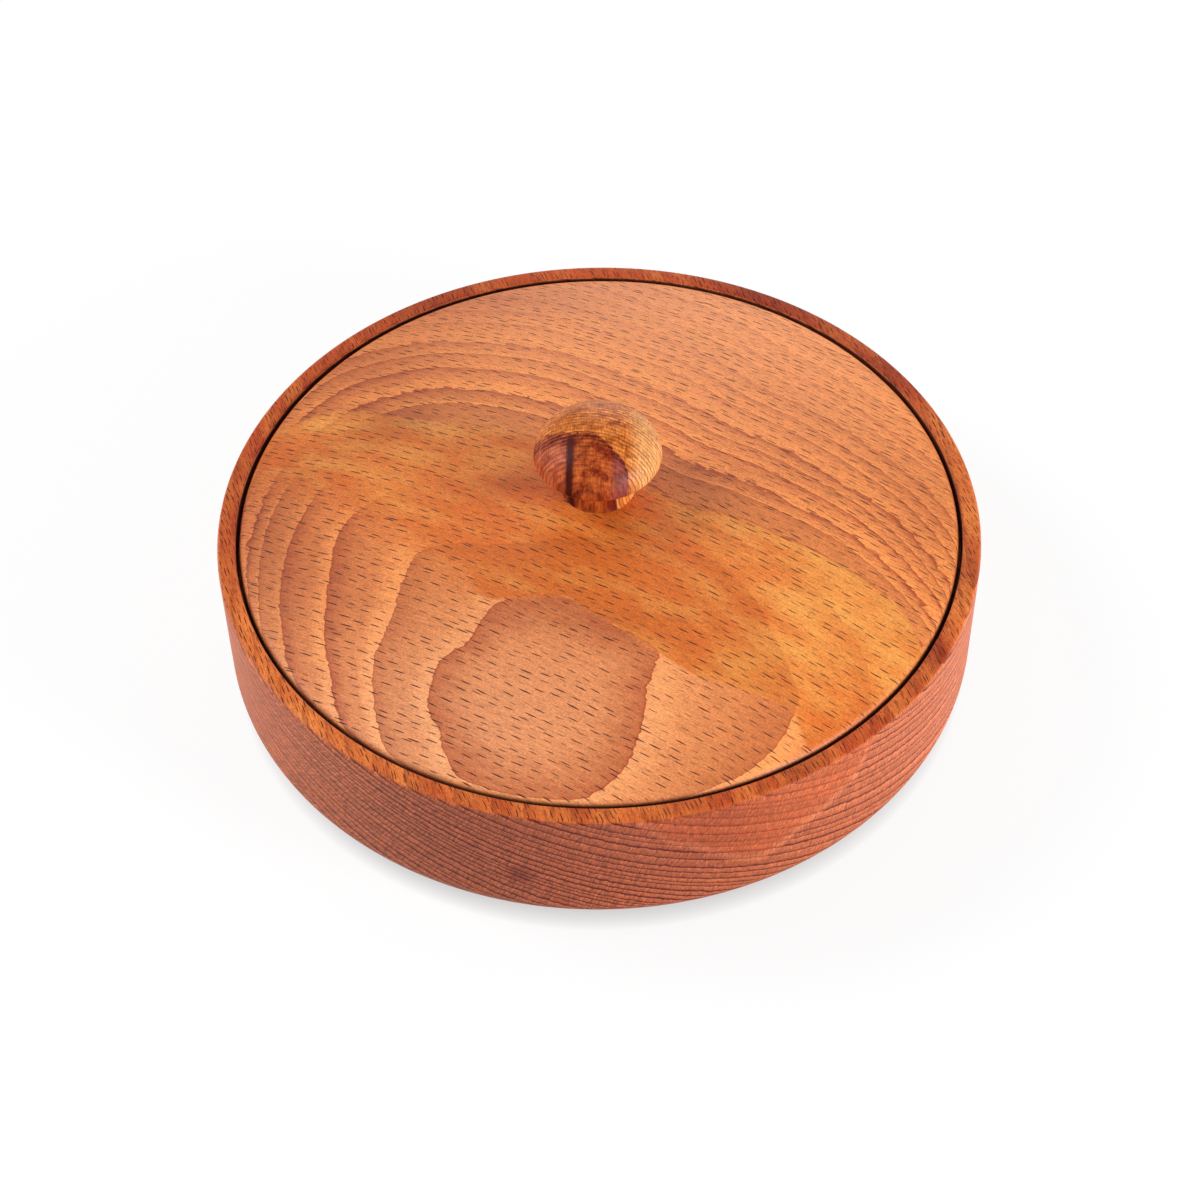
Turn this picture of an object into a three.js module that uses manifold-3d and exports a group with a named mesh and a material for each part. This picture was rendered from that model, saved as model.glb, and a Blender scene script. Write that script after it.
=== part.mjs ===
// A round, turned beech box with a domed lid that lifts off by a mushroom knob.
// Millimetres, +Z up. The origin is the middle of the foot, on the surface the box stands on.

import * as THREE from "three";
import { mergeVertices } from "three/addons/utils/BufferGeometryUtils.js";
import Module from "manifold-3d";

const wasm = await Module();
wasm.setup();

// Box body: one turned block
const bodyRadius = 100;
const bodyHeight = 45;
const wallTaper = 0.4; // what the wall's radius loses on its way down
const undersideRoundWidth = 20;
const undersideRoundHeight = 12;
const footWidth = 10; // the flat ring that the box stands on
const footRecessDepth = 1;
const footRecessSlope = 1.5;
const floorThickness = 8;
const cavityCornerRound = 14;

// Rim, and the rebate inside it that takes the lid
const rimWidth = 4.9;
const rimOuterRound = 1.3;
const rimInnerRound = 0.8;
const rebateDepth = 6.5;
const ledgeWidth = 3.6;
const ledgeRound = 0.6;

// Lid: a domed disc, hollowed underneath
const lidGap = 0.8; // all round, between the lid's edge and the rebate
const lidEdgeRound = 2.5;
const lidShoulderDrop = 1.9; // from the rim down to where the edge starts to round over
const lidCrownRise = 13; // from the rim up to the top of the dome
const lidThickness = 9;
const lidSeatWidth = 8.3; // the flat ring underneath, between the edge and the hollow
const lidSeatRound = 0.5;
const screwPadRadius = 10; // the flat in the middle of the hollow
const knobSeatMargin = 0.5; // how much larger the flat on the crown is than the knob's foot

// Knob: turned on a spindle, its foot flat on the crown
const knobFootRadius = 9.6;
const knobWaistRadius = 9;
const knobNeckHeight = 7.8; // from the foot up to the lowest level of the head's curve
const knobHeadRadius = 16.5;
const knobHeadDrop = 4.5; // from the head's widest circle down to that level
const knobHeadRise = 10; // from the widest circle up to the top
const knobFilletRadius = 1.2; // where the neck runs into the head

// Screw: countersunk, up through the lid into the knob
const screwLength = 20;
const screwHeadRadius = 3;
const screwHeadRim = 0.3;
const screwShankRadius = 1.5;
const screwCoreRadius = 1.1;
const screwTipLength = 2.5;
const recessLength = 3.4;
const recessWidth = 0.8;
const recessDepth = 1.2;

// Fits and cuts
const screwClearance = 0.3; // between the screw and the wood round it
const pilotOverDepth = 1.5; // how far the pilot hole runs on past the screw's tip
const cutOverrun = 0.5; // how far a cut starts before the face that it enters

// Facets round the axis, and steps along the curves of a profile
const largeFacets = 72;
const knobFacets = 48;
const screwFacets = 24;
const filletSteps = 4;
const cornerSteps = 8;
const domeSteps = 11;
const headSteps = 9;

// Levels and radii that follow, from the wall inwards
const rebateRadius = bodyRadius - rimWidth;
const cavityRadius = rebateRadius - ledgeWidth;
const ledgeHeight = bodyHeight - rebateDepth;
const lidRadius = rebateRadius - lidGap;
const crownHeight = bodyHeight + lidCrownRise;

// The dome is one sphere arc that runs smoothly into the rounding of the edge: the two touch on the line
// through both of their middles. The crown is turned flat where the knob stands.
const shoulderRadius = lidRadius - lidEdgeRound;
const shoulderHeight = bodyHeight - lidShoulderDrop;
const crownAboveShoulder = crownHeight - shoulderHeight;
const domeRadius =
  (crownAboveShoulder ** 2 + shoulderRadius ** 2 - lidEdgeRound ** 2) /
  (2 * (crownAboveShoulder - lidEdgeRound));
const knobSeatRadius = knobFootRadius + knobSeatMargin;
const knobSeatHeight = crownHeight - capFall(domeRadius, knobSeatRadius);

// The hollow is one sphere arc too, turned flat in the middle where the screw's head lies.
const hollowRadius = lidRadius - lidSeatWidth;
const hollowHeight = crownHeight - lidThickness;
const hollowSphereRadius = capRadius(hollowRadius, hollowHeight - ledgeHeight);
const screwPadHeight = hollowHeight - capFall(hollowSphereRadius, screwPadRadius);

// The cone under the screw's head is as high as the head stands out from the shank: 90 degrees in all.
const screwConeHeight = screwHeadRadius - screwShankRadius;
const screwShankEnd = knobSeatHeight - screwPadHeight - screwClearance;
const pilotRadius = screwCoreRadius + screwClearance;
const pilotDepth = screwPadHeight + screwLength - knobSeatHeight + pilotOverDepth;

/** The radius of a sphere whose cap is halfWidth wide from its axis, and rises by rise. */
function capRadius(halfWidth, rise) {
  return (halfWidth ** 2 + rise ** 2) / (2 * rise);
}

/** How far a sphere falls from its top, at a distance from its axis. */
function capFall(radius, distance) {
  return radius - Math.sqrt(radius ** 2 - distance ** 2);
}

/** The angle, in degrees above level, at which a circle arc about the axis is that far from it. */
function degreesAt(distance, radius) {
  return THREE.MathUtils.radToDeg(Math.acos(distance / radius));
}

/** One point of a profile: its distance from the axis and its height. */
function at(radius, height) {
  return new THREE.Vector2(radius, height);
}

/** Points along an elliptic arc of a profile. Angle 0 points away from the axis, and 90 points up. */
function ovalArc(middle, across, up, fromDegrees, toDegrees, steps) {
  const points = [];
  for (let i = 0; i <= steps; i += 1) {
    const angle = THREE.MathUtils.degToRad(THREE.MathUtils.lerp(fromDegrees, toDegrees, i / steps));
    points.push(at(middle.x + across * Math.cos(angle), middle.y + up * Math.sin(angle)));
  }
  return points;
}

/** Points along a circular arc of a profile. */
function roundArc(middle, radius, fromDegrees, toDegrees, steps) {
  return ovalArc(middle, radius, radius, fromDegrees, toDegrees, steps);
}

/** Turns a profile about +Z. It runs outwards and up round the material, from axis to axis or in a ring. */
function turned(profile, facets) {
  const geometry = new THREE.LatheGeometry(profile, facets);
  geometry.rotateX(Math.PI / 2);
  return geometry;
}

/** A closed geometry as a solid that can be cut. */
function solidOf(geometry) {
  const bare = geometry.clone();
  bare.deleteAttribute("normal");
  bare.deleteAttribute("uv");
  const merged = mergeVertices(bare);
  const mesh = new wasm.Mesh({
    numProp: 3,
    vertProperties: new Float32Array(merged.attributes.position.array),
    triVerts: new Uint32Array(merged.index.array),
  });
  mesh.merge();
  return new wasm.Manifold(mesh);
}

/** The geometry of a solid. */
function geometryOf(solid) {
  const mesh = solid.getMesh();
  const geometry = new THREE.BufferGeometry();
  geometry.setAttribute("position", new THREE.BufferAttribute(mesh.vertProperties, mesh.numProp));
  geometry.setIndex(new THREE.BufferAttribute(mesh.triVerts, 1));
  geometry.computeVertexNormals();
  return geometry;
}

/** A mesh with its name and material. */
function piece(name, geometry, material) {
  const mesh = new THREE.Mesh(geometry, material);
  mesh.name = name;
  return mesh;
}

/** What stands on or hangs from a level of its own. */
function raised(height, mesh) {
  const group = new THREE.Group();
  group.position.z = height;
  group.add(mesh);
  return group;
}

const bowlBeech = new THREE.MeshStandardMaterial({ color: 0xc07a58, roughness: 0.5, metalness: 0 });
const lidBeech = new THREE.MeshStandardMaterial({ color: 0xd08850, roughness: 0.45, metalness: 0 });
const knobBeech = new THREE.MeshStandardMaterial({ color: 0xa8703c, roughness: 0.4, metalness: 0 });
const zincSteel = new THREE.MeshStandardMaterial({ color: 0xb9b6aa, roughness: 0.35, metalness: 1 });

// The wall leans in a little on its way down, and an elliptic rounding carries it under to the foot, a
// flat ring round a shallow recess. Inside, the rebate and its ledge take the lid above the cavity.
function boxBody() {
  const footRadius = bodyRadius - wallTaper - undersideRoundWidth;
  const recessRadius = footRadius - footWidth;
  const cavityDepth = ledgeHeight - floorThickness;
  const cornerRound = Math.min(cavityCornerRound, cavityDepth - ledgeRound);
  const profile = [
    at(0, footRecessDepth),
    at(recessRadius - footRecessSlope, footRecessDepth),
    at(recessRadius, 0),
    ...ovalArc(
      at(footRadius, undersideRoundHeight), undersideRoundWidth, undersideRoundHeight,
      -90, 0, cornerSteps,
    ),
    ...roundArc(
      at(bodyRadius - rimOuterRound, bodyHeight - rimOuterRound), rimOuterRound,
      0, 90, filletSteps,
    ),
    ...roundArc(
      at(rebateRadius + rimInnerRound, bodyHeight - rimInnerRound), rimInnerRound,
      90, 180, filletSteps,
    ),
    at(rebateRadius, ledgeHeight),
    ...roundArc(
      at(cavityRadius + ledgeRound, ledgeHeight - ledgeRound), ledgeRound,
      90, 180, filletSteps,
    ),
    ...roundArc(
      at(cavityRadius - cornerRound, floorThickness + cornerRound), cornerRound,
      0, -90, cornerSteps,
    ),
    at(0, floorThickness),
  ];
  return piece("box_body", turned(profile, largeFacets), bowlBeech);
}

// A ring-shaped profile, because the screw's hole goes through the middle. It starts at the countersink
// and runs out under the hollow, round the seat and the edge, over the dome, and back down the hole.
function lid() {
  const sinkRadius = screwHeadRadius + screwClearance;
  const sinkBottom = screwPadHeight + screwHeadRim;
  const holeRadius = screwShankRadius + screwClearance;
  const domeEdge = degreesAt(shoulderRadius, domeRadius - lidEdgeRound);
  const profile = [
    at(sinkRadius, screwPadHeight),
    ...roundArc(
      at(0, hollowHeight - hollowSphereRadius), hollowSphereRadius,
      degreesAt(screwPadRadius, hollowSphereRadius), degreesAt(hollowRadius, hollowSphereRadius),
      domeSteps,
    ),
    ...roundArc(
      at(lidRadius - lidSeatRound, ledgeHeight + lidSeatRound), lidSeatRound,
      -90, 0, filletSteps,
    ),
    ...roundArc(at(shoulderRadius, shoulderHeight), lidEdgeRound, 0, domeEdge, filletSteps),
    ...roundArc(
      at(0, crownHeight - domeRadius), domeRadius,
      domeEdge, degreesAt(knobSeatRadius, domeRadius), domeSteps,
    ).slice(1),
    at(holeRadius, knobSeatHeight),
    at(holeRadius, sinkBottom + screwConeHeight),
    at(sinkRadius, sinkBottom),
    at(sinkRadius, screwPadHeight),
  ];
  return piece("lid", turned(profile, largeFacets), lidBeech);
}

// The neck draws in from the foot to its waist and runs through a small fillet into the underside of a
// bun-shaped head. The pilot hole has the cone end that a drill leaves.
function knob() {
  const widestHeight = knobNeckHeight + knobHeadDrop;
  const neckTopRadius = knobWaistRadius + knobFilletRadius;
  const underside = ovalArc(
    at(0, widestHeight), knobHeadRadius, knobHeadDrop,
    -degreesAt(neckTopRadius, knobHeadRadius), 0, headSteps,
  );
  const waistHeight = underside[0].y - knobFilletRadius;
  const profile = [
    at(0, pilotDepth),
    at(pilotRadius, pilotDepth - pilotRadius),
    at(pilotRadius, 0),
    ...ovalArc(
      at(knobFootRadius, waistHeight), knobFootRadius - knobWaistRadius, waistHeight,
      -90, -180, filletSteps,
    ),
    ...roundArc(
      at(neckTopRadius, waistHeight), knobFilletRadius,
      180, 90, filletSteps,
    ).slice(1, -1),
    ...underside,
    ...ovalArc(at(0, widestHeight), knobHeadRadius, knobHeadRise, 0, 90, headSteps).slice(1),
  ];
  return piece("knob", turned(profile, knobFacets), knobBeech);
}

// Head down and tip up. The cross recess opens downwards, into the hollow under the lid.
function knobScrew() {
  const blank = turned(
    [
      at(0, 0),
      at(screwHeadRadius, 0),
      at(screwHeadRadius, screwHeadRim),
      at(screwShankRadius, screwHeadRim + screwConeHeight),
      at(screwShankRadius, screwShankEnd),
      at(screwCoreRadius, screwShankEnd),
      at(screwCoreRadius, screwLength - screwTipLength),
      at(0, screwLength),
    ],
    screwFacets,
  );
  const slot = new THREE.BoxGeometry(recessLength, recessWidth, recessDepth + cutOverrun);
  slot.translate(0, 0, (recessDepth - cutOverrun) / 2);
  const crossSlot = slot.clone().rotateZ(Math.PI / 2);
  const cut = solidOf(blank).subtract(solidOf(slot)).subtract(solidOf(crossSlot));
  return piece("knob_screw", geometryOf(cut), zincSteel);
}

// Everything that comes off with the lid
const liftOff = new THREE.Group();
liftOff.add(lid(), raised(knobSeatHeight, knob()), raised(screwPadHeight, knobScrew()));

const box = new THREE.Group();
box.add(boxBody(), liftOff);

export default box;
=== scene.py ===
# %% [markdown]
# # A turned beech box with a lift-off lid
#
# The object is a round wooden box about 200 mm across. A woodturner makes it from four pieces: the bowl,
# the domed lid that drops into a rebate inside the rim, a mushroom knob, and the screw that holds the knob
# from below. The imported CAD model gives their sizes and places. This script gives them their looks.
#
# The frame is loaded first and its box is kept.

# %% Load the imported model as a fixed frame
import math

import bpy
import numpy as np
from mathutils import Euler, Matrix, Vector


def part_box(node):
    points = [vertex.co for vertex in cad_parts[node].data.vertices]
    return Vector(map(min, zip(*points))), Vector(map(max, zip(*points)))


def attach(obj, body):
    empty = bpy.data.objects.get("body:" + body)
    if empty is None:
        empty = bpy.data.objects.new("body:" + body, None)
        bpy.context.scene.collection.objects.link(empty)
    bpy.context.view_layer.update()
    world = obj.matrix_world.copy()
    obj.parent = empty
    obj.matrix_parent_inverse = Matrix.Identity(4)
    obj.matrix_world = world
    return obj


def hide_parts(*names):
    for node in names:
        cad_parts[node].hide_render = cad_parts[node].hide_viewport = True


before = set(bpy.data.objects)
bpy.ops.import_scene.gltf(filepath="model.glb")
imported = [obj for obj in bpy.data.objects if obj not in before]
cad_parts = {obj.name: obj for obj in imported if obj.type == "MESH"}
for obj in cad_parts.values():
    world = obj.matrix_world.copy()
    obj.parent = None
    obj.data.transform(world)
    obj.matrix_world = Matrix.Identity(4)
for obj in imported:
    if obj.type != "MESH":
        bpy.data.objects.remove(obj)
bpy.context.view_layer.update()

MM = 0.001
bowl_low, bowl_high = (np.array(corner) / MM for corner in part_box("box_body"))
lid_low, lid_high = (np.array(corner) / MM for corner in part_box("lid"))
knob_low, knob_high = (np.array(corner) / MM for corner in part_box("knob"))
screw_low, screw_high = (np.array(corner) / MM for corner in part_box("knob_screw"))
print("bowl", bowl_low.round(2), bowl_high.round(2))
print("lid", lid_low.round(2), lid_high.round(2))
print("knob", knob_low.round(2), knob_high.round(2))
print("screw", screw_low.round(2), screw_high.round(2))

# %% [markdown]
# ## Turned profiles
#
# On a lathe a piece is one profile spun about an axis, so each piece here is a surface of revolution: a
# profile of radius and height, times a full turn. The profile runs outwards and up round the wood, which
# makes every face point outwards. Arcs are given by their middle and half axes, and straight stretches are
# cut into short steps, because the wood's figure is later stored on the vertices.

# %% Helpers for profiles
def arc(middle, across, up, first, last, step):
    """Points on part of an oval: its middle plus the half axes times the cosine and sine of an angle that
    runs from first to last, in degrees. Angle 0 points away from the axis and 90 points up."""
    length = abs(math.radians(last - first)) * max(across, up)
    angles = np.radians(np.linspace(first, last, max(3, math.ceil(length / step) + 1)))
    return np.column_stack([middle[0] + across * np.cos(angles), middle[1] + up * np.sin(angles)])


SAME_POINT = 1e-6


def profile_of(parts, step):
    """One line of points from arcs and single points. Each stretch is cut into equal steps no longer than
    step: a point of it is its start plus a share of its run."""
    corners = np.vstack([np.atleast_2d(part) for part in parts])
    apart = np.append(np.hypot(*np.diff(corners, axis=0).T) > SAME_POINT, True)
    corners = corners[apart]
    runs = np.diff(corners, axis=0)
    counts = np.maximum(1, np.ceil(np.hypot(*runs.T) / step).astype(int))
    start = np.repeat(np.arange(len(runs)), counts)
    share = np.concatenate([np.arange(count) / count for count in counts])
    points = corners[:-1][start] + runs[start] * share[:, None]
    return np.vstack([points, corners[-1:]])


def cap_fall(radius, distance):
    """How far a sphere falls from its top at a distance from its axis: the radius less the root of the
    radius squared less the distance squared."""
    return radius - np.sqrt(radius**2 - distance**2)


def degrees_at(distance, radius):
    """The angle above level at which an arc about the axis is that far from the axis."""
    return math.degrees(math.acos(distance / radius))


# %% Helper that spins a profile into a closed mesh
def turned(name, profile, segments):
    """Spins a profile, in millimetres, about +Z into a mesh in metres: x is the radius times the cosine of
    the turn, y the radius times its sine, and z the height. An end that lies on the axis becomes a single
    point with a fan of triangles, and a profile that ends where it began closes on itself."""
    ring_shaped = np.allclose(profile[0], profile[-1])
    rows = profile[:-1] if ring_shaped else profile[1:-1]
    turn = 2 * math.pi * np.arange(segments) / segments
    radius, height = rows[:, :1], rows[:, 1:]
    points = np.stack([radius * np.cos(turn), radius * np.sin(turn), height + 0 * turn], axis=-1)
    points = points.reshape(-1, 3)
    column = np.arange(segments)
    beside = (column + 1) % segments
    row = np.arange(len(rows) if ring_shaped else len(rows) - 1)[:, None] * segments
    above = (row + segments) % len(points)
    faces = np.stack([row + column, row + beside, above + beside, above + column], axis=-1)
    faces = faces.reshape(-1, 4).tolist()
    if not ring_shaped:
        first, top = len(points), len(points) - segments
        faces += np.column_stack([np.full(segments, first), beside, column]).tolist()
        faces += np.column_stack([top + column, top + beside, np.full(segments, first + 1)]).tolist()
        points = np.vstack([points, [0, 0, profile[0, 1]], [0, 0, profile[-1, 1]]])
    mesh = bpy.data.meshes.new(name)
    mesh.from_pydata(points * MM, [], faces)
    return mesh


SHARP_DEGREES = 40


def finished(mesh, material, body, node):
    """Makes the piece's object: smooth faces with its crisp edges kept, its material in a slot of its own,
    and the body it moves with. The CAD node that it stands for is hidden."""
    mesh.polygons.foreach_set("use_smooth", np.ones(len(mesh.polygons), bool))
    mesh.set_sharp_from_angle(angle=math.radians(SHARP_DEGREES))
    mesh.materials.append(material)
    piece = bpy.data.objects.new(mesh.name, mesh)
    bpy.context.scene.collection.objects.link(piece)
    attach(piece, body)
    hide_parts(node)
    print(piece.name, len(mesh.vertices), "points,", len(mesh.polygons), "faces")
    return piece


def points_of(mesh):
    """The mesh's points in millimetres, as three arrays."""
    flat = np.empty(len(mesh.vertices) * 3)
    mesh.vertices.foreach_get("co", flat)
    return flat.reshape(-1, 3).T / MM


def normals_of(mesh):
    """The mesh's own directions outwards at its points, as three arrays."""
    flat = np.empty(len(mesh.vertices) * 3)
    mesh.vertex_normals.foreach_get("vector", flat)
    return flat.reshape(-1, 3).T


def store(mesh, **values):
    """Keeps one number per point under each name, for the material to read."""
    for name, value in values.items():
        layer = mesh.attributes.new(name, "FLOAT", "POINT")
        layer.data.foreach_set("value", np.broadcast_to(value, len(mesh.vertices)).astype(np.float32))
        print(mesh.name, name, "from", round(float(np.min(value)), 2), "to", round(float(np.max(value)), 2))


def smooth_step(value, low, high):
    """0 below low, 1 above high, and between them three times the share squared less twice it cubed."""
    share = np.clip((value - low) / (high - low), 0, 1)
    return share * share * (3 - 2 * share)


# %% [markdown]
# ## Nodes
#
# Every finish is a small network of shader nodes. One function adds a node, sets it up and links it, so the
# networks below read as formulas. Colours are written as the hex values a paint chart gives, and one
# function turns them into the linear values that Blender works with.

# %% Helpers for materials
def linear(hex_colour):
    """A hex colour as linear red, green, blue and alpha: each channel of the sRGB curve undone."""
    channels = np.array([int(hex_colour[i : i + 2], 16) for i in (1, 3, 5)]) / 255
    low = channels / 12.92
    high = ((channels + 0.055) / 1.055) ** 2.4
    return (*np.where(channels <= 0.04045, low, high).tolist(), 1.0)


def add(tree, kind, inputs=None, out=0, **settings):
    """Adds a shader node. The settings are its own choices, and inputs gives a value or another node's
    socket for each named or numbered input. Returns one output socket."""
    node = tree.nodes.new("ShaderNode" + kind)
    for name, value in settings.items():
        setattr(node, name, value)
    for socket, value in (inputs or {}).items():
        if isinstance(value, bpy.types.NodeSocket):
            tree.links.new(value, node.inputs[socket])
        else:
            node.inputs[socket].default_value = value
    return node.outputs[out] if len(node.outputs) else node


def new_material(name):
    """An empty node material."""
    material = bpy.data.materials.new(name)
    material.use_nodes = True
    material.node_tree.nodes.clear()
    return material, material.node_tree


MIX_A, MIX_B, MIX_OUT = 6, 7, 2  # the colour sockets of a Mix node
COLOUR_MIX = {"out": MIX_OUT, "data_type": "RGBA"}  # how a Mix node is set to mix colours

# %% [markdown]
# ## Beech
#
# Steamed beech is pink to orange brown. Three things make it beech and no other wood. Its growth rings
# darken slowly and then stop at a crisp edge. Its rays show as short dark dashes where the board is cut
# flat, and as fine lines across the end grain. Its pores are too small to see, so it looks smooth and is
# only faintly streaked along the grain. Oil gives it a satin gloss.
#
# What is larger than a few millimetres is worked out per piece and kept on the vertices: the age of the
# wood in years, the width of a year there in millimetres, how strongly its rings show, where the wood is
# amber, golden, pale, brown or dark, and where it is cut across the grain. Pale also holds a painted
# highlight on the lid's front left, brown holds the knob's painted shadow round its foot and, along the
# lid's edges, partly painted shade, and dark holds painted shade in the gap round the lid as well as the
# knot. The nodes add what is finer than the mesh: the ragged ring edges, the dashes, the fibres and the
# rays.

# %% Helpers for the figure
def bell(value, middle, width):
    """1 at the middle and less on both sides: e to the power of minus the square of the distance, counted
    in widths."""
    return np.exp(-(((value - middle) / width) ** 2))


def bells(value, spots):
    """Soft patches along one direction added up: each is a middle, a width and a strength."""
    return sum(strength * bell(value, middle, width) for middle, width, strength in spots)


def soft_spots(x, y, spots):
    """Soft round patches added up: each is a middle, a width, a height and a strength."""
    return sum(
        strength * bell(x, middle[0], width) * bell(y, middle[1], height)
        for middle, width, height, strength in spots
    )


GAP_CLEAR, GAP_FADED_SHARE = 4.5, 0.8


def painted_gap_shade(below_rim, start, full, fade):
    """Painted shade on a face in the gap round the lid, by its depth below the rim, so that the gap reads as
    a dark line: it comes in from start to full, and most of it fades out again from fade on."""
    faded = GAP_FADED_SHARE * smooth_step(below_rim, fade, GAP_CLEAR)
    return smooth_step(below_rim, start, full) * (1 - faded)


# %% Where a point lies in the wood
def grain_place(tree, turn):
    """The place in the wood, in millimetres: X along the grain, Y along the rings and Z across them. turn
    is how those lie in the piece, in degrees about each axis."""
    here = add(tree, "TexCoord", out="Object")
    angles = Euler([math.radians(angle) for angle in turn])
    return add(tree, "Mapping", {0: here, "Rotation": angles, "Scale": (MM, MM, MM)}, vector_type="TEXTURE")


def stretched(tree, place, along, across, through):
    """The place counted in units of so many millimetres along, across and through the grain."""
    unit = (1 / along, 1 / across, 1 / through)
    return add(tree, "VectorMath", {0: place, 1: unit}, operation="MULTIPLY")


# %% Growth rings
WANDER_SIZE, CLOUDY_SIZE = (6.0, 1.8, 6.0), (9.0, 1.6, 6.0)
MIDDLE_SHADE = 0.25


def ring_shade(tree, place, ragged):
    """How dark the wood is within its year, 0 to 1, and the year's chance number. The age plus a little
    wander, less its whole years, gives the share of the year. The year starts light, turns half dark in a
    cloudy way, and darkens again towards a thin line at its crisp end. A wide year has a darker body and a
    narrow one a stronger line, and by chance some years stand out more from the middle shade."""
    age, year, strength = (
        add(tree, "Attribute", out="Fac", attribute_name=kept)
        for kept in ("age", "year_width", "ring_strength")
    )
    wander = add(
        tree, "TexNoise",
        {"Scale": 1.0, "Vector": stretched(tree, place, *WANDER_SIZE), "Detail": 4.0, "Roughness": 0.55}
    )
    shift = add(tree, "MapRange", {0: wander, 3: -ragged, 4: ragged}, clamp=False)
    shift = add(tree, "Math", {0: shift, 1: year}, operation="DIVIDE")
    age = add(tree, "Math", {0: age, 1: shift}, operation="ADD")
    share = add(tree, "Math", {0: age}, operation="FRACT")
    cloudy = add(
        tree, "TexNoise",
        {"Scale": 1.0, "Vector": stretched(tree, place, *CLOUDY_SIZE), "Detail": 4.0, "Roughness": 0.6}
    )
    cloudy = add(tree, "MapRange", {0: cloudy, 3: -0.3, 4: 0.3}, clamp=False)
    cloudy = add(tree, "Math", {0: share, 1: cloudy}, operation="ADD")
    body = add(tree, "MapRange", {0: cloudy, 1: 0.05, 2: 0.45}, interpolation_type="SMOOTHSTEP")
    wide = add(tree, "MapRange", {0: year, 1: 2.0, 2: 9.0, 3: 0.15, 4: 0.42})
    wide = add(tree, "Math", {0: wide, 1: strength}, operation="MULTIPLY")
    body = add(tree, "Math", {0: body, 1: wide}, operation="MULTIPLY")
    rise = add(tree, "MapRange", {0: cloudy, 1: 0.5, 2: 1.1}, interpolation_type="SMOOTHSTEP")
    left = add(tree, "Math", {0: 1.0, 1: share}, operation="SUBTRACT")
    left = add(tree, "Math", {0: left, 1: year}, operation="MULTIPLY")
    line = add(tree, "MapRange", {0: left, 1: 0.05, 2: 0.7, 3: 1.0, 4: 0.0})
    crisp = add(tree, "MapRange", {0: year, 1: 2.0, 2: 7.0, 3: 0.55, 4: 0.22})
    line = add(tree, "Math", {0: line, 1: crisp}, operation="MULTIPLY")
    dark = add(tree, "Math", {0: rise, 1: 0.44, 2: body}, operation="MULTIPLY_ADD")
    dark = add(tree, "Math", {0: dark, 1: line}, operation="ADD")
    whole = add(tree, "Math", {0: age}, operation="FLOOR")
    luck = add(tree, "TexWhiteNoise", {"W": whole}, noise_dimensions="1D")
    vigour = add(tree, "MapRange", {0: luck, 3: 0.7, 4: 1.2})
    strength = add(tree, "Math", {0: strength, 1: vigour}, operation="MULTIPLY")
    dark = add(tree, "Math", {0: dark, 1: MIDDLE_SHADE}, operation="SUBTRACT")
    dark = add(tree, "Math", {0: dark, 1: strength, 2: MIDDLE_SHADE}, operation="MULTIPLY_ADD")
    return dark, luck


# %% Ray dashes
DRIFT_SIZE = (18.0, 12.0, 60.0)


def dash_shade(tree, place, pitch, half):
    """Dashes of the rays, 0 to 1. The place is laid out in rows of cells of so many millimetres, each row
    pushed along by a chance amount, and each cell holds one dash. Its middle is put by chance, but so that
    the dash stays in its cell. The distance to it is counted in half lengths and half widths of a dash, and
    inside a chance reach the wood is dark, in a large dash more than in a small one. A slow sideways drift
    tilts neighbouring dashes a little."""
    drift = add(
        tree, "TexNoise", {"Scale": 1.0, "Vector": stretched(tree, place, *DRIFT_SIZE), "Detail": 0.0}
    )
    drift = add(tree, "MapRange", {0: drift, 3: -1.0, 4: 1.0}, clamp=False)
    drift = add(tree, "CombineXYZ", {1: drift})
    drifted = add(tree, "VectorMath", {0: place, 1: drift}, operation="ADD")
    rows = stretched(tree, drifted, *pitch, 1000.0)
    row = add(tree, "VectorMath", {0: rows}, operation="FLOOR")
    row = add(tree, "SeparateXYZ", {0: row}, out="Y")
    push = add(tree, "TexWhiteNoise", {"W": row}, noise_dimensions="1D")
    push = add(tree, "CombineXYZ", {0: push})
    rows = add(tree, "VectorMath", {0: rows, 1: push}, operation="ADD")
    cell = add(tree, "VectorMath", {0: rows}, operation="FLOOR")
    chance = add(tree, "TexWhiteNoise", {"Vector": cell}, out="Color", noise_dimensions="2D")
    freedom = (2 * half[0] / pitch[0] - 1, 2 * half[1] / pitch[1] - 1, 0.0)
    local = add(tree, "VectorMath", {0: rows}, operation="FRACTION")
    local = add(tree, "VectorMath", {0: local, 1: (0.5, 0.5, 0.5)}, operation="SUBTRACT")
    middle = add(tree, "VectorMath", {0: chance, 1: (0.5, 0.5, 0.5)}, operation="SUBTRACT")
    offset = add(tree, "VectorMath", {0: middle, 1: freedom, 2: local}, operation="MULTIPLY_ADD")
    size = (pitch[0] / half[0], pitch[1] / half[1], 0.0)
    offset = add(tree, "VectorMath", {0: offset, 1: size}, operation="MULTIPLY")
    distance = add(tree, "VectorMath", {0: offset}, out="Value", operation="LENGTH")
    luck = add(tree, "SeparateXYZ", {0: chance}, out="Z")
    reach = add(tree, "MapRange", {0: luck, 3: 0.55, 4: 1.05})
    depth = add(tree, "Math", {0: reach, 1: distance}, operation="SUBTRACT")
    depth = add(tree, "MapRange", {0: depth, 1: 0.0, 2: 0.25})
    strength = add(tree, "MapRange", {0: luck, 1: 0.0, 2: 0.6, 3: 0.65, 4: 1.0})
    return add(tree, "Math", {0: depth, 1: strength}, operation="MULTIPLY")


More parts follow.
